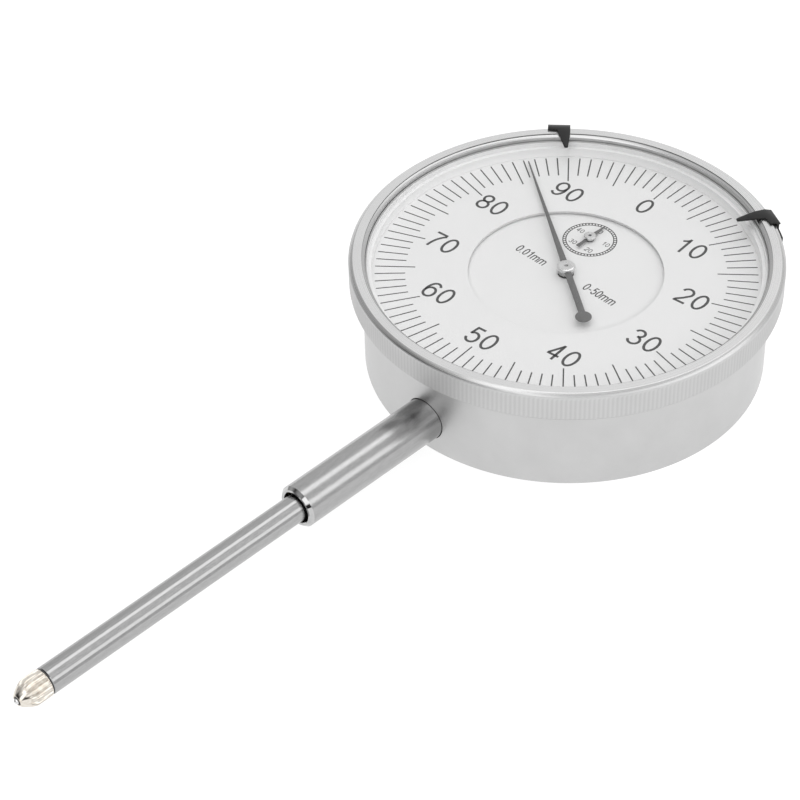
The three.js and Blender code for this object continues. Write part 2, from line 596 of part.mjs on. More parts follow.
// Moulded cap: a flat window and a skirt that stands on the dial ring.
place('crystal', turned([
  [0, CRYSTAL_Z1 - CRYSTAL_T], [SKIRT_R0, CRYSTAL_Z1 - CRYSTAL_T], [SKIRT_R0, DIAL_Z + 0.03],
  [CRYSTAL_R, DIAL_Z + 0.03], [CRYSTAL_R, CRYSTAL_Z1 - 0.6], [WINDOW_R, CRYSTAL_Z1 - 0.6],
  [WINDOW_R, CRYSTAL_Z1], [0, CRYSTAL_Z1],
], 80), 'crystal');
place('crystal_seal', turned(closed([
  [WINDOW_R + 0.05, CRYSTAL_Z1 - 0.57], [CRYSTAL_R + 0.05, CRYSTAL_Z1 - 0.57], [CRYSTAL_R + 0.05, CRYSTAL_Z1 + 0.15],
  [WINDOW_R + 0.05, CRYSTAL_Z1 + 0.15],
]), 80), 'black');

// Open spring ring between the neck and the bezel, which lets the bezel turn stiffly.
function retainingWire() {
  const steps = 36;
  const span = 330;
  const arc = sector(33.95, 34.45, 15, 15 + span, steps);
  return prism(arc, 17.1, 17.5);
}
place('retaining_wire', retainingWire(), 'steel');

// ---- limit markers ---------------------------------------------------------
// Bent strip clipped over the bezel: a finger over the crystal's edge and a band down the side.
const MARKER_Z = [BEZEL_Z1 + 0.05, BEZEL_Z1 + 0.4];
const BAND_R = [BEZEL_R + 0.15, BEZEL_R + 0.65];
function marker(edgeAngle, side) {
  const along = (r, v) => [r, side * v];
  const finger = [along(33.0, 0), along(BAND_R[1], 0), along(BAND_R[1] - 0.25, 4.3), along(37.9, 4.3),
    along(37.6, 2.8), along(35.2, 1.8), along(33.1, 0.85)];
  const top = prism(turn(finger, edgeAngle), ...MARKER_Z);
  const neckArc = sector(...BAND_R, edgeAngle, edgeAngle + side * 6.25, 3);
  const bandArc = sector(...BAND_R, edgeAngle, edgeAngle + side * 10, 5);
  return join(top, prism(neckArc, 21.2, MARKER_Z[1]), prism(bandArc, 18.6, 21.3));
}
place('marker_left', marker(MARKER_ANGLES.left, 1), 'black');
place('marker_right', marker(MARKER_ANGLES.right, -1), 'black');

export default group;
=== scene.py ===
"""Dial indicator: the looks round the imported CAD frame.

Lengths are in millimetres until they meet Blender, and angles in degrees unless a formula needs radians."""
import math
import bpy
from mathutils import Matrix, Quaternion, Vector


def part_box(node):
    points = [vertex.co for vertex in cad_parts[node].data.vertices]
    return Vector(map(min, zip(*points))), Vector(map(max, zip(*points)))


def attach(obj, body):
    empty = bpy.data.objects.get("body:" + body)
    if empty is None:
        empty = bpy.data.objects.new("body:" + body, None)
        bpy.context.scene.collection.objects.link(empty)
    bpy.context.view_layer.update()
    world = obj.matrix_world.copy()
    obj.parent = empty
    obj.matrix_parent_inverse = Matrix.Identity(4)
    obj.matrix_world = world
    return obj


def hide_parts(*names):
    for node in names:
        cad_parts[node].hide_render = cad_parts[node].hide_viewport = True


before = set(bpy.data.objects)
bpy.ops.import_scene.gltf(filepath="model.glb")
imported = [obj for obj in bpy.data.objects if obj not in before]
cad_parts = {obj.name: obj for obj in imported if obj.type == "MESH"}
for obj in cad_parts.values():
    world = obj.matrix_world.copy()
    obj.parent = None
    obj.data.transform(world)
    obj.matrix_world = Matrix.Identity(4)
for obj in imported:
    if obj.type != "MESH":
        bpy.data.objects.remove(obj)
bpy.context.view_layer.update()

MM = 0.001
X, Y, Z = range(3)


# ---- sizes taken from the CAD -----------------------------------------------------
def lowest(node, axis):
    """Lowest place of a CAD node along an axis, at rest."""
    return round(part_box(node)[0][axis] / MM, 3)


def highest(node, axis):
    """Highest place of a CAD node along an axis, at rest."""
    return round(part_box(node)[1][axis] / MM, 3)


def middle(node, axis):
    return (lowest(node, axis) + highest(node, axis)) / 2


AXIS_Z = middle("stem", Z)              # height of the axis that the stem and the spindle share
STEM_END = lowest("stem", Y)
STEM_BACK = highest("stem", Y)
FLANGE_R = highest("stem", X)
CASE_R = highest("case", X)
NECK_TOP = highest("case", Z)
DIAL_Z = highest("dial_ring", Z)
INNER_DIAL_Z = highest("inner_dial", Z)
SMALL_AT = (middle("small_arbor", X), middle("small_arbor", Y))
BEZEL_R = highest("bezel", X)
BEZEL_BOTTOM = lowest("bezel", Z)
BEZEL_TOP = highest("bezel", Z)
CRYSTAL_FOOT = lowest("crystal", Z)
CRYSTAL_TOP = highest("crystal", Z)
POINTER_Z = (lowest("main_pointer", Z), highest("main_pointer", Z))
SPINDLE_R = highest("spindle", X)
POINT_BACK = highest("contact_point", Y)
BALL_END = lowest("contact_ball", Y)

# ---- sizes that only the looks have -------------------------------------------------
STEM_R = 4.0
CASE_TOP = 16.5
DIAL_TURN = 4.96                        # turn of the outer dial on the case
BEZEL_BORE = 36.5
FOOT_R = 34.55                          # inner radius of the bezel's foot
CHAMFER_R = 38.7                        # where the bezel's flat top meets its chamfer
LIP_R = 37.1                            # where the bezel's flat top steps down to its bore
KNURLS = 310
KNURL_DEPTH = 0.1
KNURL_Z = (17.45, 21.4)                 # lower and upper end of the bezel's knurl
SHOULDER = -124.06                      # where the contact point's ribbed body starts
POINTER_ANGLE = 144.2                   # from +X
FINGER = 0.32                           # thickness of a marker's finger
MARKER_Z = highest("marker_left", Z) - FINGER - 0.01    # underside of a finger that lies on the bezel
PRINT_DEPTH = 0.012
ON_AXIS = 1e-6                          # a smaller radius counts as a point on the axis


# ---- mesh helpers -------------------------------------------------------------------
def new_object(name, verts, faces, smooth_deg=30):
    """An object from points in millimetres."""
    mesh = bpy.data.meshes.new(name)
    mesh.from_pydata([Vector(v) * MM for v in verts], [], faces)
    mesh.validate()
    mesh.update()
    obj = bpy.data.objects.new(name, mesh)
    bpy.context.scene.collection.objects.link(obj)
    smooth(obj, smooth_deg)
    return obj


def smooth(obj, degrees):
    """Smooth shading, with edges sharper than that angle left crisp."""
    mesh = obj.data
    mesh.shade_smooth()
    mesh.set_sharp_from_angle(angle=math.radians(degrees))


def along_z(r, h, a, centre):
    """Point at a radius, height and angle in radians, about an axis that stands at a centre."""
    return (centre[0] + r * math.cos(a), centre[1] + r * math.sin(a), h)


def along_y(r, h, a, centre):
    """The same about the stem's axis, which needs no centre."""
    return (r * math.cos(a), h, AXIS_Z + r * math.sin(a))


def lathe(name, profile, segments, place=along_z, centre=(0, 0), radius=None, smooth_deg=30):
    """Closed profile of (radius, height) pairs turned about an axis.

    A profile point on the axis is one vertex. radius(r, h, i) may change the radius of segment i."""
    verts = []
    rings = []
    for r, h in profile:
        if r < ON_AXIS:
            rings.append([len(verts)] * segments)
            verts.append(place(0, h, 0, centre))
            continue
        ring = []
        for i in range(segments):
            ring.append(len(verts))
            here = radius(r, h, i) if radius else r
            verts.append(place(here, h, math.tau * i / segments, centre))
        rings.append(ring)
    faces = []
    count = len(rings)
    for k in range(count):
        a = rings[k]
        b = rings[(k + 1) % count]
        if a[0] == a[1] and b[0] == b[1]:
            continue
        for i in range(segments):
            j = (i + 1) % segments
            corners = list(dict.fromkeys([a[i], a[j], b[j], b[i]]))
            if len(corners) > 2:
                faces.append(corners)
    obj = new_object(name, verts, faces, smooth_deg)
    outward(obj)
    return obj


def outward(obj):
    """Turns the faces outward, by the sign of the closed mesh's volume."""
    volume = 0
    mesh = obj.data
    mesh.calc_loop_triangles()
    for tri in mesh.loop_triangles:
        a, b, c = (mesh.vertices[i].co for i in tri.vertices)
        volume += a.dot(b.cross(c))
    if volume < 0:
        mesh.flip_normals()


def plate(name, outline, z0, z1, bevel=0.0):
    """Flat outline raised from z0 to z1, its edges softened by a small bevel."""
    n = len(outline)
    verts = [(x, y, z0) for x, y in outline] + [(x, y, z1) for x, y in outline]
    faces = [list(range(n))[::-1], list(range(n, 2 * n))]
    faces += [[i, (i + 1) % n, n + (i + 1) % n, n + i] for i in range(n)]
    obj = new_object(name, verts, faces)
    outward(obj)
    if bevel:
        soften(obj, bevel)
    return obj


def soften(obj, width):
    """Bevels the object's sharp edges."""
    modifier = obj.modifiers.new("soft edge", "BEVEL")
    modifier.width = width * MM
    modifier.segments = 2
    modifier.limit_method = "ANGLE"
    modifier.angle_limit = math.radians(40)
    settle(obj)
    smooth(obj, 35)


def settle(obj):
    """Applies the object's modifiers to its mesh."""
    graph = bpy.context.evaluated_depsgraph_get()
    graph.update()
    mesh = bpy.data.meshes.new_from_object(obj.evaluated_get(graph))
    obj.modifiers.clear()
    obj.data = mesh


def cut_with(obj, tool):
    """Takes a tool's volume out of an object, and the tool away."""
    modifier = obj.modifiers.new("cut", "BOOLEAN")
    modifier.operation = "DIFFERENCE"
    modifier.object = tool
    modifier.solver = "EXACT"
    settle(obj)
    bpy.data.objects.remove(tool)
    smooth(obj, 30)


def join(name, objects):
    """Several pieces' meshes as one object."""
    verts = []
    faces = []
    for obj in objects:
        base = len(verts)
        verts += [v.co / MM for v in obj.data.vertices]
        faces += [[base + i for i in p.vertices] for p in obj.data.polygons]
        bpy.data.objects.remove(obj)
    return new_object(name, verts, faces)


def turned(points, degrees, centre=(0, 0)):
    """Flat points turned about the origin, then moved to a centre."""
    c = math.cos(math.radians(degrees))
    s = math.sin(math.radians(degrees))
    return [(centre[0] + c * x - s * y, centre[1] + s * x + c * y) for x, y in points]


def arc(r, start, end, steps, centre=(0, 0)):
    """Flat points along a circle, from one angle to another."""
    points = []
    for i in range(steps + 1):
        a = math.radians(start + (end - start) * i / steps)
        points.append((centre[0] + r * math.cos(a), centre[1] + r * math.sin(a)))
    return points


def mirrored(half):
    """Closed outline from the half of it above the X axis."""
    return half + [(x, -y) for x, y in reversed(half)]


# ---- material helpers ---------------------------------------------------------------
def material(name, color, metallic=0.0, roughness=0.5, **sockets):
    """A material and its shader, with the constants set on the shader's own sockets."""
    made = bpy.data.materials.new(name)
    made.use_nodes = True
    shader = made.node_tree.nodes["Principled BSDF"]
    shader.inputs["Base Color"].default_value = (*color, 1)
    shader.inputs["Metallic"].default_value = metallic
    shader.inputs["Roughness"].default_value = roughness
    for socket, value in sockets.items():
        shader.inputs[socket.replace("_", " ")].default_value = value
    return made, made.node_tree, shader


def position(tree, scale=(1, 1, 1)):
    """The row frame's coordinates in millimetres, times a scale along each axis."""
    where = tree.nodes.new("ShaderNodeTexCoord")
    mapping = tree.nodes.new("ShaderNodeMapping")
    mapping.inputs["Scale"].default_value = [s / MM for s in scale]
    tree.links.new(where.outputs["Object"], mapping.inputs["Vector"])
    return mapping.outputs["Vector"]


def noise(tree, vector, scale, detail=4.0):
    made = tree.nodes.new("ShaderNodeTexNoise")
    made.inputs["Scale"].default_value = scale
    made.inputs["Detail"].default_value = detail
    made.inputs["Roughness"].default_value = 0.55
    tree.links.new(vector, made.inputs["Vector"])
    return made.outputs["Fac"]


def spread(tree, value, low, high, out_low, out_high):
    """Maps a value from one range to another."""
    made = tree.nodes.new("ShaderNodeMapRange")
    for socket, number in zip(("From Min", "From Max", "To Min", "To Max"), (low, high, out_low, out_high)):
        made.inputs[socket].default_value = number
    tree.links.new(value, made.inputs["Value"])
    return made.outputs["Result"]


def drifting(tree, value, low, high):
    """Maps the usual span of a noise to a range."""
    return spread(tree, value, 0.3, 0.7, low, high)


def shades(tree, value, dark, light):
    """A colour between two, by a value from 0 to 1."""
    ramp = tree.nodes.new("ShaderNodeValToRGB")
    ramp.color_ramp.elements[0].color = (*dark, 1)
    ramp.color_ramp.elements[1].color = (*light, 1)
    tree.links.new(value, ramp.inputs["Fac"])
    return ramp.outputs["Color"]


def bump(tree, shader, height, strength):
    """Fine relief on a surface, by a height from 0 to 1."""
    made = tree.nodes.new("ShaderNodeBump")
    made.inputs["Strength"].default_value = strength
    made.inputs["Distance"].default_value = 0.02 * MM
    tree.links.new(height, made.inputs["Height"])
    tree.links.new(made.outputs["Normal"], shader.inputs["Normal"])


def cloudy_metal(name, dark, light, roughness, grain_scale=(1, 1, 1), scale=0.35, fine=0.0):
    """Bare metal whose tone and gloss drift, with optional fine grain in its surface."""
    made, tree, shader = material(name, light, metallic=1.0, roughness=sum(roughness) / 2)
    vector = position(tree, grain_scale)
    cloud = noise(tree, vector, scale)
    tone = drifting(tree, cloud, 0, 1)
    tree.links.new(shades(tree, tone, dark, light), shader.inputs["Base Color"])
    tree.links.new(drifting(tree, cloud, *roughness), shader.inputs["Roughness"])
    if fine:
        bump(tree, shader, noise(tree, vector, 9.0, 2.0), fine)
    return made


def grey(value):
    return (value, value, value)


CASE = cloudy_metal("case_satin", grey(0.525), grey(0.58), (0.36, 0.44), scale=0.12, fine=0.1)
COVER = cloudy_metal("cover_satin", grey(0.53), grey(0.58), (0.38, 0.46), scale=0.12, fine=0.1)
STEEL = cloudy_metal("ground_steel", grey(0.365), grey(0.415), (0.18, 0.23), (3, 0.5, 3), 1.2, fine=0.2)
SCREW = cloudy_metal("screw_steel", grey(0.50), grey(0.62), (0.25, 0.38), scale=2.0)
BLUED = cloudy_metal("blued_steel", (0.10, 0.10, 0.12), (0.16, 0.16, 0.19), (0.28, 0.4), scale=2.0)
BRASS = cloudy_metal("brass_plate", (0.62, 0.46, 0.22), (0.72, 0.56, 0.29), (0.25, 0.38),
                     scale=1.2, fine=0.06)
TIP = cloudy_metal("warm_plating", (0.62, 0.56, 0.49), (0.80, 0.77, 0.71), (0.10, 0.2), scale=1.4)
BALL = cloudy_metal("lapped_ball", grey(0.68), grey(0.76), (0.06, 0.1), scale=2.0)
HUB = cloudy_metal("hub_nickel", grey(0.60), grey(0.70), (0.24, 0.32), scale=0.8)


def radius_of(tree):
    """Distance from the dial's axis, in millimetres."""
    flat = tree.nodes.new("ShaderNodeVectorMath")
    flat.operation = "MULTIPLY"
    flat.inputs[1].default_value = (1, 1, 0)
    tree.links.new(position(tree), flat.inputs[0])
    length = tree.nodes.new("ShaderNodeVectorMath")
    length.operation = "LENGTH"
    tree.links.new(flat.outputs["Vector"], length.inputs[0])
    return length.outputs["Value"]


def combine(tree, operation, first, second):
    """Two values put together by a maths operation."""
    made = tree.nodes.new("ShaderNodeMath")
    made.operation = operation
    tree.links.new(first, made.inputs[0])
    tree.links.new(second, made.inputs[1])
    return made.outputs["Value"]


def multiply(tree, first, second):
    return combine(tree, "MULTIPLY", first, second)


def bands(tree, value, stops):
    """A grey that follows a value through (value, grey) stops."""
    low = stops[0][0]
    span = stops[-1][0] - low
    ramp = tree.nodes.new("ShaderNodeValToRGB")
    ends = ramp.color_ramp.elements
    while len(ends) < len(stops):
        ends.new(0.5)
    for end, (at, tone) in zip(ends, stops):
        end.position = (at - low) / span
        end.color = (*grey(tone), 1)
    tree.links.new(spread(tree, value, low, low + span, 0, 1), ramp.inputs["Fac"])
    return ramp.outputs["Color"]


def bezel_metal():
    """Turned alloy with concentric tool marks and a rougher knurl. Its grey follows the radius as painted
    light: a painted highlight on the flat top, and painted shade on the bore, the lip, a dark line at the
    riser, the chamfer and the knurl's grooves.
    """
    made, tree, shader = material("bezel_turned_painted_light", grey(0.7), metallic=1.0, roughness=0.3)
    radius = radius_of(tree)
    cloud = drifting(tree, noise(tree, position(tree), 0.1), 0.95, 1.0)
    groove = BEZEL_R - KNURL_DEPTH
    # Painted light by radius: a painted highlight on the flat top, painted shade on the bore, lip, chamfer
    # and knurl grooves, and a dark painted shade line at the riser.
    bore, lip, riser_shade, flat, chamfer, groove_shade, crest_tone = 0.54, 0.50, 0.3, 0.74, 0.53, 0.55, 0.62
    painted_light_bands = bands(tree, radius, [
        (BEZEL_BORE, bore), (BEZEL_BORE + 0.06, bore), (BEZEL_BORE + 0.12, lip), (LIP_R - 0.02, lip),
        (LIP_R - 0.01, riser_shade), (LIP_R + 0.01, riser_shade), (LIP_R + 0.02, flat), (CHAMFER_R, flat),
        (CHAMFER_R + 0.08, chamfer), (groove - 0.06, chamfer), (groove, groove_shade), (BEZEL_R, crest_tone),
    ])
    tone = tree.nodes.new("ShaderNodeVectorMath")
    tone.operation = "SCALE"
    tree.links.new(painted_light_bands, tone.inputs[0])
    tree.links.new(cloud, tone.inputs["Scale"])
    tree.links.new(tone.outputs["Vector"], shader.inputs["Base Color"])
    marks = tree.nodes.new("ShaderNodeTexNoise")
    marks.noise_dimensions = "1D"
    marks.inputs["Scale"].default_value = 7
    marks.inputs["Detail"].default_value = 3
    tree.links.new(radius, marks.inputs["W"])
    turned_gloss = drifting(tree, marks.outputs["Fac"], 0.22, 0.36)
    knurl_gloss = spread(tree, radius, groove - 0.06, groove, 0.0, 0.55)
    tree.links.new(combine(tree, "MAXIMUM", turned_gloss, knurl_gloss), shader.inputs["Roughness"])
    bump(tree, shader, marks.outputs["Fac"], 0.05)
    return made


def dial_white(name, value, edge_r):
    """Matt printed ground with a faint grain. Inside the radius of its cut edge it is darker, partly as the
    bare cut edge and partly as painted shade in the step between the dials.
    """
    made, tree, shader = material(name, grey(value), roughness=0.55)
    vector = position(tree)
    cloud = drifting(tree, noise(tree, vector, 0.12), 0.985, 1.0)
    # Darker inside the cut edge: partly the bare cut edge, partly painted shade in the step down to the
    # inner dial.
    cut_edge_shade = spread(tree, radius_of(tree), edge_r, edge_r + 0.05, 0.8, 1.0)
    tone = multiply(tree, cloud, cut_edge_shade)
    tree.links.new(shades(tree, tone, grey(0.0), grey(value)), shader.inputs["Base Color"])
    bump(tree, shader, noise(tree, vector, 12.0, 2.0), 0.05)
    return made


def paint(name, value, roughness, drift=0.15, gloss=0.5):
    """Paint or ink whose tone drifts a little."""
    made, tree, shader = material(name, grey(value), roughness=roughness, Specular_IOR_Level=gloss)
    cloud = noise(tree, position(tree), 1.5)
    light = shades(tree, cloud, grey(value * (1 - drift)), grey(value * (1 + drift)))
    tree.links.new(light, shader.inputs["Base Color"])
    bump(tree, shader, noise(tree, position(tree), 14.0, 2.0), 0.06)
    return made


def clear():
    """Flat clear crystal: light passes straight through, and its face mirrors a little."""
    made = bpy.data.materials.new("clear_crystal")
    made.use_nodes = True
    tree = made.node_tree
    tree.nodes.remove(tree.nodes["Principled BSDF"])
    through = tree.nodes.new("ShaderNodeBsdfTransparent")
    through.inputs["Color"].default_value = (0.99, 0.99, 0.99, 1)
    gloss = tree.nodes.new("ShaderNodeBsdfGlossy")
    gloss.inputs["Roughness"].default_value = 0.04
    mix = tree.nodes.new("ShaderNodeMixShader")
    mix.inputs["Fac"].default_value = 0.02
    tree.links.new(through.outputs["BSDF"], mix.inputs[1])
    tree.links.new(gloss.outputs["BSDF"], mix.inputs[2])
    tree.links.new(mix.outputs["Shader"], tree.nodes["Material Output"].inputs["Surface"])
    return made


def frosted():
    """Moulded clear plastic seen on edge: pale, with painted shade that makes it a little darker towards
    the window.
    """
    made, tree, shader = material("frosted_skirt", grey(0.9), roughness=0.4)
    height = tree.nodes.new("ShaderNodeSeparateXYZ")
    tree.links.new(position(tree), height.inputs["Vector"])
    # Painted shade: the skirt darkens a little towards the window.
    level = spread(tree, height.outputs["Z"], 18.6, 20.4, 1, 0)
    tree.links.new(shades(tree, level, grey(0.84), grey(0.93)), shader.inputs["Base Color"])
    bump(tree, shader, noise(tree, position(tree), 6.0, 2.0), 0.05)
    return made


BEZEL = bezel_metal()
SKIRT = frosted()
DIAL_TONE = 0.775
DIAL_EDGE_R = 17.84                     # the dial ring's inner edge
DIAL = dial_white("dial_ground", DIAL_TONE, DIAL_EDGE_R)
INNER = dial_white("inner_dial_ground", DIAL_TONE, 0)
INK = paint("dial_ink", 0.045, 0.5)
FINE_INK = paint("dial_fine_ink", 0.02, 0.5)
HAND = paint("hand_grey", 0.11, 0.4)
BLACK = paint("marker_black", 0.014, 0.38, drift=0.3, gloss=0.25)
# The seal's mid grey is painted shade: it stands for the dark line at the crystal's edge.
SEAL_SHADE = paint("seal_rubber_and_shade", 0.42, 0.6)
POLISHED = cloudy_metal("polished_edge", grey(0.46), grey(0.54), (0.05, 0.09), scale=1.0)
DARK = paint("joint_dark", 0.05, 0.5)
CRYSTAL = clear()


def dress(obj, look, body=None, *replaced):
    """Gives a piece its material and body, and hides the CAD nodes that it stands for."""
    obj.data.materials.clear()
    obj.data.materials.append(look)
    if body:
        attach(obj, body)
    if replaced:
        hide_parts(*replaced)


# ---- CAD nodes that stay -------------------------------------------------------------
BRASS_WORDS = (
    "bush", "bridge", "top_plate", "pillar", "pinion_cock", "gear", "small_wheel", "collet", "stud",
)


def look_of(name):
    """The material of a CAD node, by its name. What isn't named here is steel."""
    looks = {
        "back_cover": COVER,
        "dial_ring": DIAL,
        "inner_dial": INNER,
        "hairspring": BLUED,
        "small_arbor": BLUED,
    }
    if name in looks:
        return looks[name]
    if "screw" in name:
        return SCREW
    if any(word in name for word in BRASS_WORDS):
        return BRASS
    return STEEL


def dress_nodes():
    for name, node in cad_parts.items():
        node.data.materials.clear()
        node.data.materials.append(look_of(name))


# ---- case ---------------------------------------------------------------------------
def mouth(name, r, near, far):
    """Round tool along the stem's axis, which cuts an opening in the case's wall."""
    return lathe(name, [(0, near), (r, near), (r, far), (0, far)], 64, along_y)


def build_case():
    """Shell with round corners, a neck for the bezel, and openings for the stem and the cap."""
    wall_r = CASE_R
    seat_r, seat_z = 36.0, 1.6          # where the back cover lies
    inside_r = 34.3
    neck_in, neck_out = 32.4, 33.8
    hole_r = 2.2                        # for the pointer's arbor, through the front web
    web_z = 14.25
    profile = [
        (seat_r, 0), (wall_r - 0.35, 0), (wall_r - 0.17, 0.05), (wall_r - 0.04, 0.18), (wall_r, 0.4),
        (wall_r, CASE_TOP - 0.4), (wall_r - 0.04, CASE_TOP - 0.18), (wall_r - 0.17, CASE_TOP - 0.05),
        (wall_r - 0.35, CASE_TOP), (neck_out, CASE_TOP), (neck_out, NECK_TOP), (neck_in, NECK_TOP),
        (neck_in, CASE_TOP), (hole_r, CASE_TOP), (hole_r, web_z), (inside_r, web_z), (inside_r, seat_z),
        (seat_r, seat_z),
    ]
    case = lathe("case_shell", profile, 256)
    cut_with(case, mouth("stem_mouth", STEM_R + 0.12, -40, -30))
    cut_with(case, mouth("cap_mouth", 3.7, 30, 40))
    dress(case, CASE, "case", "case")


# ---- stem ---------------------------------------------------------------------------
def build_stem():
    """Tube with a flange inside the case, and the polished rim at its end."""
    bore = 3.1
    joint = STEM_END + 0.6
    flange = (-33.7, -32.4)
    profile = [
        (bore, joint), (STEM_R, joint), (STEM_R, flange[0]), (FLANGE_R, flange[0]), (FLANGE_R, flange[1]),
        (STEM_R, flange[1]), (STEM_R, STEM_BACK), (bore, STEM_BACK),
    ]
    dress(lathe("stem_tube", profile, 96, along_y), STEEL, "case", "stem")
    rim = [
        (bore - 0.1, STEM_END + 0.1), (bore, STEM_END), (STEM_R - 0.5, STEM_END), (STEM_R, joint - 0.05),
        (STEM_R, joint), (bore - 0.1, joint),
    ]
    dress(lathe("stem_rim", rim, 96, along_y, smooth_deg=25), POLISHED, "case", "stem")


# ---- contact point --------------------------------------------------------------------
def build_point():
    """Screwed-in point: a ribbed barrel that closes in a curve round the ball."""
    ribs = 40
    rib_depth = 0.14
    rib_start, rib_end = 0.14, 3.94     # past the shoulder

    def knurl(r, h, i):
        cut = i % 4 > 1 and rib_start < SHOULDER - h < rib_end
        return r - rib_depth if cut else r

    shank_r = 1.25
    barrel = [                          # each height is measured past the shoulder
        (shank_r, 0), (2.36, 0), (2.46, 0.1), (SPINDLE_R, 0.24), (SPINDLE_R, 2.94), (2.46, 3.14),
        (2.26, 3.69), (2.0, 4.24), (1.7, 4.74), (1.4, 5.14), (1.16, 5.42), (1.0, 5.57), (0.9, 5.62),
        (0.8, 5.56), (0.76, 5.24), (0, 5.24),
    ]
    outline = [(0, POINT_BACK), (shank_r, POINT_BACK)] + [(r, SHOULDER - past) for r, past in barrel]
    point = lathe("contact_body", outline, ribs * 4, along_y, radius=knurl, smooth_deg=25)
    dress(point, TIP, "spindle", "contact_point")
    near, far = SHOULDER + 0.02, SHOULDER + 0.19
    washer = [(1.4, far), (2.4, far), (2.4, near), (1.4, near)]
    dress(lathe("joint_washer", washer, 64, along_y), DARK, "spindle", "contact_washer")


def build_ball():
    """Hard ball at the point's end, in a seat whose black is painted shade in the recess round the ball."""
    ball_r = 0.52
    ball = arc(ball_r, 90, -90, 16, (0, BALL_END + ball_r))
    dress(lathe("measuring_ball", ball, 48, along_y, smooth_deg=60), BALL, "spindle", "contact_ball")
    back = BALL_END + 0.9
    # The seat's black is painted shade: the recess round the ball.
    seat = [(0.45, back), (0.78, back), (0.78, back - 0.3), (0.74, back - 0.38), (0.45, back - 0.44)]
    dress(lathe("ball_seat_shade", seat, 48, along_y), BLACK, "spindle", "contact_ball")


# ---- bezel and crystal ---------------------------------------------------------------
def build_bezel():
    """Ring whose foot turns round the case's neck, with a knurled side, a chamfer, a flat top and a lip."""
    def knurl(r, h, i):
        return r - KNURL_DEPTH if i % 2 and h in KNURL_Z else r

    bottom = BEZEL_BOTTOM
    top = BEZEL_TOP
    foot_top = 18.03
    profile = [
        (FOOT_R, bottom), (BEZEL_R - 0.55, bottom), (BEZEL_R - 0.25, bottom + 0.15),
        (BEZEL_R - 0.08, bottom + 0.35), (BEZEL_R, KNURL_Z[0]), (BEZEL_R, KNURL_Z[1]),
        (BEZEL_R, top - 0.7), (BEZEL_R - 0.06, top - 0.58), (CHAMFER_R + 0.1, top - 0.04),
        (CHAMFER_R + 0.04, top - 0.01), (CHAMFER_R, top), (CHAMFER_R - 0.06, top),
        (LIP_R, top), (LIP_R, top - 0.23), (BEZEL_BORE + 0.1, top - 0.43), (BEZEL_BORE, top - 0.53),
        (BEZEL_BORE, foot_top), (FOOT_R, foot_top),
    ]
    ring = lathe("bezel_ring", profile, KNURLS * 2, radius=knurl, smooth_deg=32)
    dress(ring, BEZEL, "bezel", "bezel")


def build_crystal():
    """The clear window, the frosted skirt that holds the dial ring down, and the seal round them, whose
    grey is painted shade at the crystal's edge.
    """
    top = CRYSTAL_TOP
    foot = CRYSTAL_FOOT
    window_r = 36.05
    window = [
        (0, top - 1), (window_r - 0.05, top - 1), (window_r, top - 0.95), (window_r, top - 0.1),
        (window_r - 0.1, top), (0, top),
    ]
    dress(lathe("crystal_window", window, 192), CRYSTAL, "bezel", "crystal")
    skirt_r = BEZEL_BORE - 0.12
    skirt = [
        (35.35, foot), (skirt_r, foot), (skirt_r, top - 0.14), (36.08, top - 0.14), (36.08, top - 1.02),
        (35.4, top - 1.02),
    ]
    dress(lathe("crystal_skirt", skirt, 192), SKIRT, "bezel", "crystal")
    seal_r = BEZEL_BORE - 0.05
    seal = [
        (36.2, top - 0.12), (seal_r, top - 0.12), (seal_r, top + 0.04), (seal_r - 0.05, top + 0.08),
        (36.24, top + 0.06), (36.2, top),
    ]
    dress(lathe("crystal_seal_ring", seal, 192), SEAL_SHADE, "bezel", "crystal_seal")


# ---- print -------------------------------------------------------------------------
FIGURE_HALF = 2.0                       # half height of a figure's centreline
FIGURE_PITCH = 3.2                      # from one figure to the next
FIGURE_STROKE = 0.5


def strokes(name, bars, z):
    """Flat bars as one mesh on a dial. Each is (inner radius, outer radius, width, angle, centre)."""
    pieces = []
    for r0, r1, width, angle, centre in bars:
        line = turned([(r0, 0), (r1, 0)], angle, centre)
        pieces.append(ribbon(line, width))
    return printed(name, pieces, z)


def ribbon(line, width, loop=False):
    """The two sides of a line of even width, and whether the line closes on itself."""
    left = []
    right = []
    count = len(line)
    for i, (x, y) in enumerate(line):
        before = line[i - 1] if i or loop else line[i]
        after = line[(i + 1) % count] if i < count - 1 or loop else line[i]
        a = Vector((x - before[0], y - before[1])).normalized()
        b = Vector((after[0] - x, after[1] - y)).normalized()
        along = (a + b).normalized()
        facing = max(along.dot(b if b.length else a), 0.5)
        reach = width / 2 / facing          # further out at a corner, so that the width stays even
        left.append((x - along.y * reach, y + along.x * reach))
        right.append((x + along.y * reach, y - along.x * reach))
    return left, right, loop


def printed(name, ribbons, z):
    """Ribbons as one thin mesh lying on a dial."""
    verts = []
    faces = []
    for left, right, loop in ribbons:
        base = len(verts)
        count = len(left)
        for height in (z, z + PRINT_DEPTH):
            verts += [(x, y, height) for x, y in left] + [(x, y, height) for x, y in right]
        bottom_left, bottom_right, top_left, top_right = (base + k * count for k in range(4))
        for i in range(count if loop else count - 1):
            j = (i + 1) % count
            faces.append((top_right + i, top_right + j, top_left + j, top_left + i))
            faces.append((bottom_left + i, bottom_left + j, bottom_right + j, bottom_right + i))
            faces.append((bottom_right + i, bottom_right + j, top_right + j, top_right + i))
            faces.append((top_left + i, top_left + j, bottom_left + j, bottom_left + i))
        if not loop:
            end = count - 1
            faces.append((bottom_left, bottom_right, top_right, top_left))
            faces.append((bottom_left + end, top_left + end, top_right + end, bottom_right + end))
    return new_object(name, verts, faces)


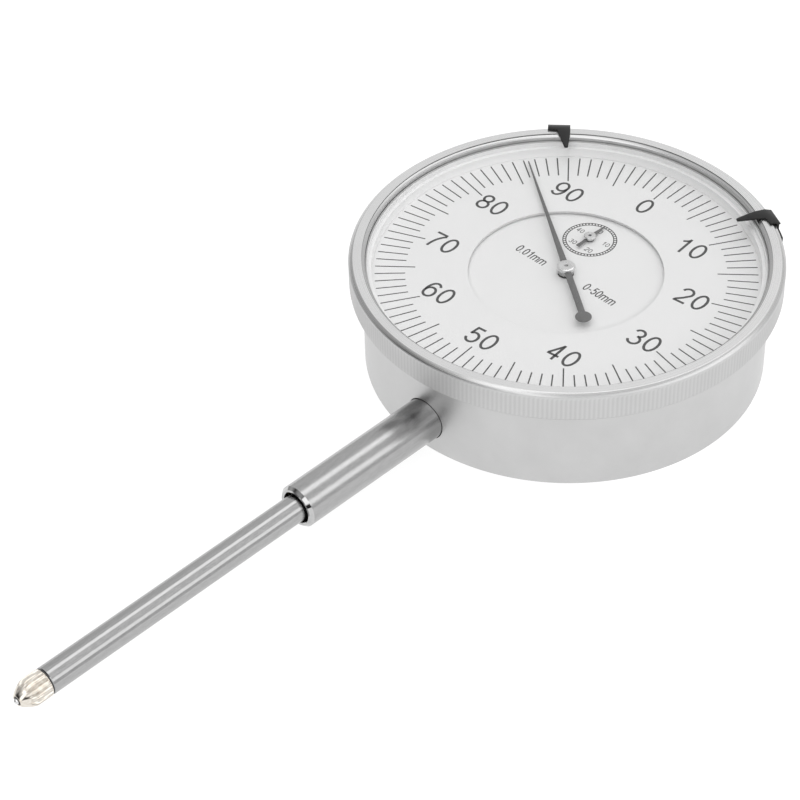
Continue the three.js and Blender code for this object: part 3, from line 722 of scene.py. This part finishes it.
def oval(x, y, rx, ry, start, end, steps=20):
    """Stretch of an ellipse from a start angle to an end angle."""
    points = []
    for i in range(steps + 1):
        a = math.radians(start + (end - start) * i / steps)
        points.append((x + rx * math.cos(a), y + ry * math.sin(a)))
    return points


def bar(*points):
    """An open centreline."""
    return list(points), False


def ring_of(points):
    """A closed centreline."""
    return points, True


def hook(x, end):
    """An arch that starts at x and ends in a straight leg, as in the letter m."""
    return bar(*oval(x + 0.95, 0.2, 0.95, 0.7, 180, 0, 10), (end, -2.2))


def make_signs():
    """Each sign's centrelines, about the sign's middle."""
    h = FIGURE_HALF
    foot = -h
    ring = oval(0, 0, 1.07, h, 0, 345, 23)
    return {
        "0": [ring_of([(x, y * (1.03 - 0.03 * abs(y) / h)) for x, y in ring])],
        "1": [bar((-0.72, 0.98), (-0.1, 1.35), (0.36, 1.85)), bar((0.38, 2.25), (0.38, -2.25))],
        "2": [
            bar(*oval(0, 0.93, 1.02, 1.07, 172, -28), (0.05, -0.72), (-0.9, -1.7), (-1.0, foot)),
            bar((-1.25, foot), (1.1, foot)),
        ],
        "3": [
            bar(*oval(-0.05, 1.08, 0.93, 0.92, 165, -88)),
            bar(*oval(-0.05, -0.9, 1.08, 1.1, 90, -163)),
        ],
        "4": [
            bar((0.42, 2.25), (0.42, -2.25)),
            bar((0.42, 2.05), (-1.08, -0.9)),
            bar((-1.25, -0.95), (1.12, -0.95)),
        ],
        "5": [
            bar((0.95, h), (-0.62, h), (-0.88, 0.05)),
            bar(*oval(-0.02, -0.68, 1.08, 1.32, 140, -163)),
        ],
        "6": [ring_of(oval(0, -0.7, 1.05, 1.3, 0, 340, 18)), bar(*oval(0.12, 0, 1.18, h, 42, 200))],
        "7": [bar((-1.1, h), (1.22, h)), bar(*oval(2.6, -2.3, 2.95, 4.6, 118, 180, 12))],
        "8": [
            ring_of(oval(0, 1.06, 0.9, 0.94, 0, 340, 18)),
            ring_of(oval(0, -0.92, 1.06, 1.08, 0, 340, 18)),
        ],
        "9": [ring_of(oval(0, 0.7, 1.05, 1.3, 0, 340, 18)), bar(*oval(-0.12, 0, 1.18, h, 222, 380))],
        "m": [bar((-1.95, 0.95), (-1.95, -2.2)), hook(-1.95, -0.05), hook(-0.05, 1.85)],
        ".": [bar((-0.25, foot), (0.25, foot))],
        "-": [bar((-0.75, -0.5), (0.75, -0.5))],
    }


SIGNS = make_signs()
WIDE_SIGNS = {"m": 5.0, ".": 1.5, "-": 2.4}      # signs whose pitch isn't a figure's


def figures(name, text, height, at, angle, z, squeeze=1.0):
    """Plain figures or a unit, centred on a point. The height is from edge to edge."""
    scale = height / (2 * FIGURE_HALF + FIGURE_STROKE)
    advances = [WIDE_SIGNS.get(sign, FIGURE_PITCH) for sign in text]
    x = -sum(advances) / 2
    ribbons = []
    for sign, advance in zip(text, advances):
        x += advance / 2
        for points, closed in SIGNS[sign]:
            line = [((x + px) * scale * squeeze, py * scale) for px, py in points]
            ribbons.append(ribbon(turned(line, angle, at), FIGURE_STROKE * scale, closed))
        x += advance / 2
    return printed(name, ribbons, z)


def circle_line(name, r, width, z, centre):
    """Printed circle."""
    inner, outer = r - width / 2, r + width / 2
    profile = [(inner, z), (outer, z), (outer, z + PRINT_DEPTH), (inner, z + PRINT_DEPTH)]
    return lathe(name, profile, 128, centre=centre)


def print_ring():
    """The outer dial: a hundred graduations, every fifth one longer, and a numeral at every tenth."""
    bars = []
    for k in range(100):
        angle = 90 + DIAL_TURN - 3.6 * k
        inner = 27.45 if k % 5 == 0 else 29.25
        bars.append((inner, 34.82, 0.25, angle, (0, 0)))
    dress(strokes("graduations", bars, DIAL_Z), INK, "bezel")
    for k in range(10):
        r = 24.65 if k % 5 == 0 else 23.95
        (at,) = turned([(r, 0)], 90 + DIAL_TURN - 36 * k)
        dress(figures(f"numeral_{k * 10}", str(k * 10), 4.55, at, DIAL_TURN, DIAL_Z), INK, "bezel")


def print_inner():
    """The small dial and the two unit texts on the fixed inner dial."""
    z = INNER_DIAL_Z
    at = SMALL_AT
    inner_r, outer_r = 4.42, 4.98
    for name, r in (("small_ring_outer", outer_r), ("small_ring_inner", inner_r)):
        dress(circle_line(name, r, 0.17, z, at), FINE_INK, "case")
    bars = [(inner_r, outer_r, 0.2, 90 - 7.2 * k, at) for k in range(50)]
    dress(strokes("small_graduations", bars, z), FINE_INK, "case")
    for k in range(5):
        a = math.radians(90 - 72 * k)
        spot = (at[0] + 3.25 * math.cos(a), at[1] + 3.1 * math.sin(a))
        dress(figures(f"small_numeral_{k * 10}", str(k * 10), 1.15, spot, 0, z), INK, "case")
    height, tilt, squeeze = 2.05, -1.3, 0.74
    graduation = figures("graduation_text", "0.01mm", height, (-8.15, -0.2), tilt, z, squeeze)
    dress(graduation, FINE_INK, "case")
    travel = figures("range_text", "0-50mm", height, (8.55, -0.35), tilt, z, squeeze)
    dress(travel, FINE_INK, "case")


# ---- hands --------------------------------------------------------------------------
def build_pointer():
    """Main pointer: a tapered blade with a round weight at its tail, on a collar under a hub."""
    z0, z1 = POINTER_Z
    edge = 0.03
    half = [(33.4, 0.12), (14, 0.36), (1.0, 0.62), (-14, 0.62)]
    blade = plate("pointer_blade", turned(mirrored(half), POINTER_ANGLE), z0, z1, edge)
    disc = turned(arc(1.48, 0, 352.5, 47, (-14.4, 0)), POINTER_ANGLE)
    weight = plate("pointer_weight", disc, z0 - 0.01, z1 + 0.01, edge)
    dress(join("pointer", [blade, weight]), HAND, "centre_pinion", "main_pointer")
    hub = [
        (0.35, 19.05), (1.62, 19.05), (1.68, 19.12), (1.68, 19.52), (1.62, 19.64), (1.46, 19.72),
        (1.3, 19.75), (0.42, 19.75), (0.35, 19.7),
    ]
    dress(lathe("hub_cap", hub, 64), HUB, "centre_pinion", "pointer_hub")
    collar = [(0.6, 18.02), (1.3, 18.02), (1.42, 18.14), (1.42, 18.94), (1.36, 19.02), (0.6, 19.02)]
    dress(lathe("hub_collar", collar, 64), STEEL, "centre_pinion", "pointer_collet")


def build_small_hand():
    """Revolution counter's hand and its stepped cap."""
    half = [(4.4, 0.14), (0.6, 0.42), (-2.4, 0.3), (-3.5, 0.4)]
    blade = plate("small_blade", turned(mirrored(half), 91, SMALL_AT), 18.3, 18.45, 0.03)
    cap = [
        (0.55, 18.05), (0.8, 18.05), (0.8, 18.46), (1.08, 18.5), (1.12, 18.56), (1.12, 18.78),
        (1.06, 18.85), (0.36, 18.88), (0.3, 18.84), (0.3, 18.75), (0.55, 18.72),
    ]
    dress(lathe("small_cap", cap, 40, centre=SMALL_AT), HUB, "small_hand")
    dress(blade, HAND, "small_hand", "small_pointer")


# ---- limit markers --------------------------------------------------------------------
def finger_plate(name, stations, side, edge):
    """Flat finger from its tip outwards, each station (radius, near edge, far edge).

    It bends down a little over the crystal, and more over the bezel's chamfer."""
    verts = []
    for r, near, far in stations:
        drop = max(0, r - 38.75) * 0.35 + max(0, 36.7 - r) * 0.13
        (x0, y0), (x1, y1) = turned([(r, side * near), (r, side * far)], edge)
        for z in (MARKER_Z - drop, MARKER_Z + FINGER - drop):
            verts += [(x0, y0, z), (x1, y1, z)]
    faces = [(0, 1, 3, 2)]
    last = 4 * (len(stations) - 1)
    for a in range(0, last, 4):
        b = a + 4
        faces += [(a, a + 2, b + 2, b), (a + 1, b + 1, b + 3, a + 3)]
        faces += [(a + 2, a + 3, b + 3, b + 2), (a, b, b + 1, a + 1)]
    faces.append((last, last + 2, last + 3, last + 1))
    finger = new_object(name, verts, faces)
    outward(finger)
    soften(finger, 0.05)
    return finger


def clip_strip(name, edge, sweep, steps, z0, z1):
    """Strip that hugs the bezel's side, from a marker's edge through a sweep."""
    outer = arc(BEZEL_R + 0.62, edge, edge + sweep, steps)
    inner = arc(BEZEL_R + 0.12, edge + sweep, edge, steps)
    return plate(name, outer + inner, z0, z1, 0.06)


def build_marker(name, node, edge, side):
    """Bent strip: its finger lies across the bezel and dips over the crystal, its band hugs the side."""
    stations = [
        (32.95, 0.45, 0.95), (33.1, 0.33, 1.07), (35.2, 0.1, 1.75), (36.7, 0, 2.2), (37.7, 0, 2.5),
        (37.9, 0, 2.75), (38.05, 0, 4.3), (38.75, 0, 4.3), (40.1, 0, 4.3),
    ]
    finger = finger_plate(name + "_finger", stations, side, edge)
    neck = clip_strip(name + "_neck", edge, side * 6.1, 6, 21.2, 22.5)
    band = clip_strip(name + "_band", edge, side * 10, 12, 18.8, 21.3)
    dress(join(name, [finger, neck, band]), BLACK, node, node)


# ---- stage (metres) -------------------------------------------------------------------
def build_floor():
    """Plain pale floor, which glows enough to stay white."""
    size = 3
    below = -0.0002
    mesh = bpy.data.meshes.new("floor")
    corners = [(-size, -size), (size, -size), (size, size), (-size, size)]
    mesh.from_pydata([(x, y, below) for x, y in corners], [], [[0, 1, 2, 3]])
    floor = bpy.data.objects.new("floor", mesh)
    bpy.context.scene.collection.objects.link(floor)
    look, tree, shader = material("floor_white", grey(0.22), roughness=0.9)
    shader.inputs["Emission Color"].default_value = (1, 1, 1, 1)
    shader.inputs["Emission Strength"].default_value = 0.88
    floor.data.materials.append(look)


def strip_light(name, angle, power):
    """Soft strip along the stem, at an angle above the +X side."""
    distance = 0.7
    data = bpy.data.lights.new(name, "AREA")
    data.shape = "RECTANGLE"
    data.size = 0.29
    data.size_y = 1.5
    data.energy = power
    light = bpy.data.objects.new(name, data)
    a = math.radians(angle)
    light.location = (distance * math.cos(a), -0.02, distance * math.sin(a))
    light.rotation_euler = (0, math.pi / 2 - a, 0)
    bpy.context.scene.collection.objects.link(light)


def build_world():
    """Pale surround, bright overhead and behind the case, and a little darker at the left and the horizon.

    Beyond the spindle's end it is dark, but for a bright window to the right."""
    world = bpy.data.worlds.new("studio")
    world.use_nodes = True
    tree = world.node_tree
    direction = tree.nodes.new("ShaderNodeTexCoord")
    parts = tree.nodes.new("ShaderNodeSeparateXYZ")
    tree.links.new(direction.outputs["Generated"], parts.inputs["Vector"])
    x, y, z = (parts.outputs[axis] for axis in "XYZ")
    side = spread(tree, x, -1, 0.4, 0.76, 0.82)
    far = spread(tree, y, -0.1, 0.5, 0.72, 1.15)
    top = spread(tree, z, 0.6, 0.78, 0.0, 1.15)
    horizon = spread(tree, z, 0.04, 0.3, 0.8, 1.0)
    ahead = spread(tree, y, -0.62, -0.46, 0.06, 1.0)
    high = spread(tree, z, 0.5, 0.65, 0.0, 1.0)
    window_left = spread(tree, x, 0.1, 0.16, 0.0, 3.0)
    window_right = spread(tree, x, 0.5, 0.56, 3.0, 0.0)
    window_depth = spread(tree, y, -0.6, -0.5, 1.0, 0.0)
    window = multiply(tree, combine(tree, "MINIMUM", window_left, window_right), window_depth)
    front = combine(tree, "MAXIMUM", combine(tree, "MAXIMUM", ahead, high), window)
    dome = multiply(tree, side, combine(tree, "MAXIMUM", far, top))
    level = multiply(tree, dome, multiply(tree, horizon, front))
    tree.links.new(level, tree.nodes["Background"].inputs["Strength"])
    tree.nodes["Background"].inputs["Color"].default_value = (1, 1, 1, 1)
    bpy.context.scene.world = world


def build_camera():
    """The photograph's view: from the front right, about 41 degrees up."""
    data = bpy.data.cameras.new("camera")
    data.sensor_width = 36
    data.lens = 114.94
    camera = bpy.data.objects.new("camera", data)
    location = Vector((239.29, -277.05, 307.17)) * MM
    aim = Vector((-11.99, -31.37, 0)) * MM
    forward = (aim - location).normalized()
    roll = Quaternion(forward, math.radians(1.566))
    camera.location = location
    camera.rotation_mode = "QUATERNION"
    camera.rotation_quaternion = roll @ forward.to_track_quat("-Z", "Y")
    bpy.context.scene.collection.objects.link(camera)
    bpy.context.scene.camera = camera


def plain_view():
    """Colours as the lights and materials give them."""
    bpy.context.scene.view_settings.view_transform = "Standard"
    bpy.context.scene.view_settings.look = "None"


build_camera()
dress_nodes()
build_case()
build_stem()
build_point()
build_ball()
build_bezel()
build_crystal()
print_ring()
print_inner()
build_pointer()
build_small_hand()
build_marker("marker_clip_left", "marker_left", 130.7, 1)
build_marker("marker_clip_right", "marker_right", 61.9, -1)
build_floor()
build_world()
strip_light("strip_overhead", 91, 1.55)
strip_light("strip_right", 33, 1.4)
plain_view()
